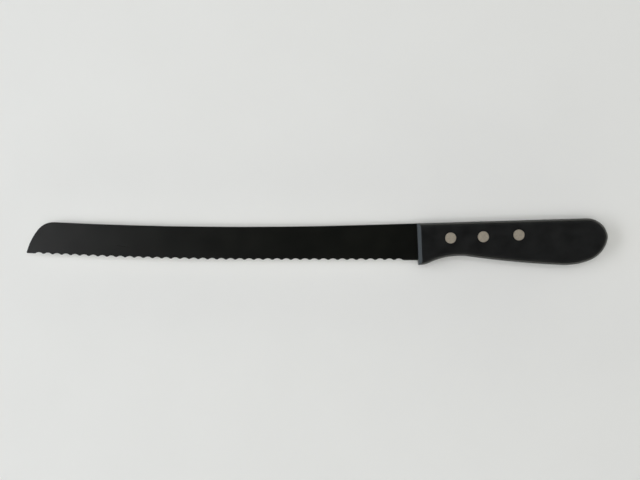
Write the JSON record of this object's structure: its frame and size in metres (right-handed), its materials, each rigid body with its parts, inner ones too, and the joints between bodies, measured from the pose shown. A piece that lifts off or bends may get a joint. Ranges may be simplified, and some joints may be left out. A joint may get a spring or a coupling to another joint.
{
  "type": "bread knife",
  "caption": "Bread knife with a long, black-coated, scalloped blade with an angled round tip, a short tang that shows on the spine side, and two black handle scales held by two-piece rivets.",
  "frame": {"origin": "centre of the knife's footprint, on the surface that it lies on", "axes": "+X from the tip to the butt, +Y from the cutting edge to the spine, +Z from the right side, which it lies on, to the left side"},
  "size_m": [0.375, 0.0296, 0.0158],
  "materials": {
    "coated_blade": "steel with a thin, satin, non-stick black coating; bare steel where the teeth are ground and on the tang",
    "black_scale": "smooth black moulded plastic with a soft satin sheen and fine handling scratches",
    "rivet_steel": "stainless rivet heads ground flush with the handle, fine straight grinding lines"
  },
  "bodies": {
    "root": {"blade": "coated_blade", "left_scale": "black_scale", "right_scale": "black_scale", "front_rivet_post": "rivet_steel", "front_rivet_barrel": "rivet_steel", "middle_rivet_post": "rivet_steel", "middle_rivet_barrel": "rivet_steel", "rear_rivet_post": "rivet_steel", "rear_rivet_barrel": "rivet_steel"}
  },
  "joints": []
}
